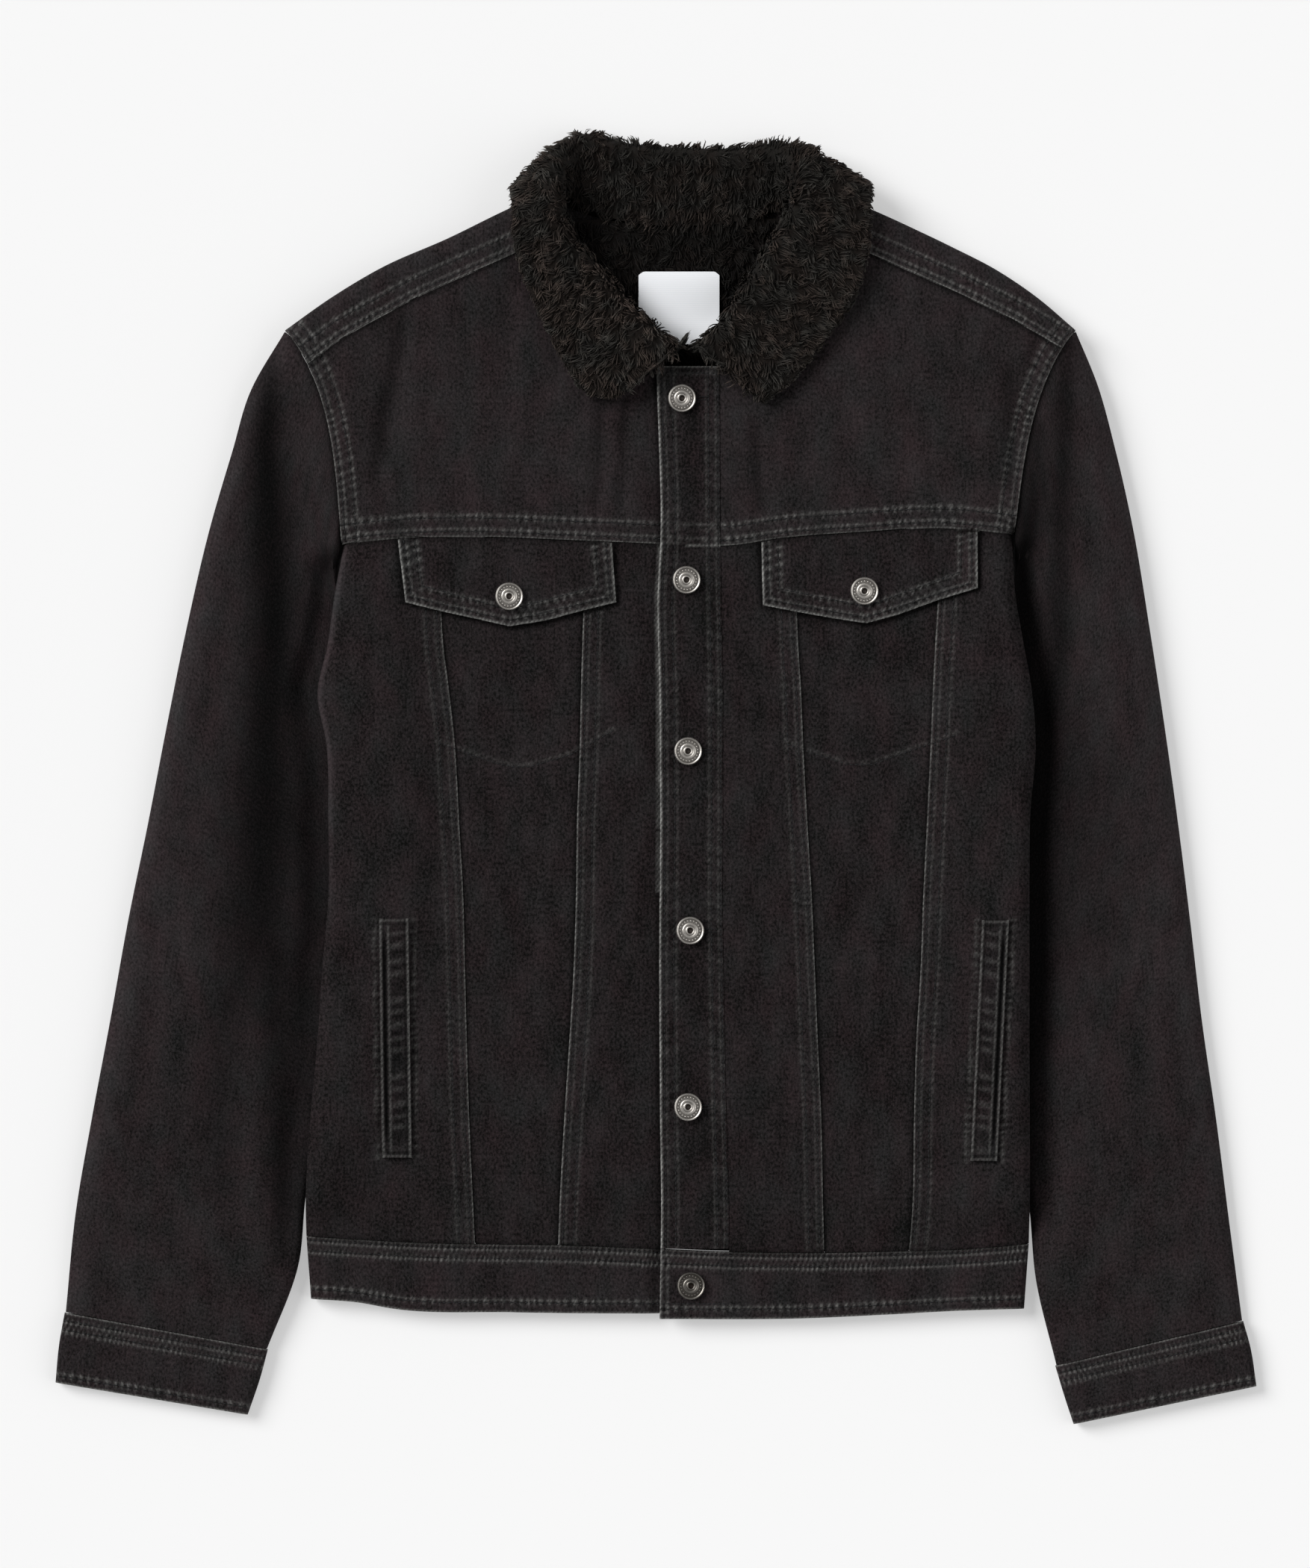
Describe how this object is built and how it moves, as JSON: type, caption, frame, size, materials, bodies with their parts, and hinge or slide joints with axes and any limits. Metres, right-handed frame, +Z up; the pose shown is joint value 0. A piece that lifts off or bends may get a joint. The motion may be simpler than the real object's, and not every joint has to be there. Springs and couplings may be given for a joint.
{
  "type": "sherpa lined denim jacket",
  "caption": "Waist-length dark denim jacket with a sherpa collar and lining, buttoned up and laid flat on its back with its arms down.",
  "frame": {"origin": "middle of the jacket's box in plan, on the surface that it lies on", "axes": "+Z up from that surface, out of the jacket's front; +Y towards the collar; +X towards the wearer's left sleeve, which is on the right seen from above"},
  "size_m": [0.7326, 0.7889, 0.0423],
  "materials": {
    "denim": "near-black washed cotton denim, pale at its worn seam edges, matt",
    "sherpa": "near-black curly pile, matt",
    "button_metal": "antique nickel, satin, dark in its recesses",
    "label_cloth": "white woven tape, bare"
  },
  "bodies": {
    "root": {"back_panel": "denim", "back_yoke": "denim", "button_1": "button_metal", "button_2": "button_metal", "button_3": "button_metal", "button_4": "button_metal", "button_5": "button_metal", "button_flap_left": "button_metal", "button_flap_right": "button_metal", "button_stand": "denim", "button_waist": "button_metal", "collar": "sherpa", "cuff_left": "denim", "cuff_right": "denim", "flap_left": "denim", "flap_right": "denim", "front_inner_left": "denim", "front_inner_right": "denim", "front_mid_left": "denim", "front_mid_right": "denim", "front_side_left": "denim", "front_side_right": "denim", "front_yoke_left": "denim", "front_yoke_right": "denim", "neck_label": "label_cloth", "neck_lining": "sherpa", "placket": "denim", "sleeve_left": "denim", "sleeve_right": "denim", "waistband": "denim", "welt_left": "denim", "welt_right": "denim"}
  },
  "joints": []
}
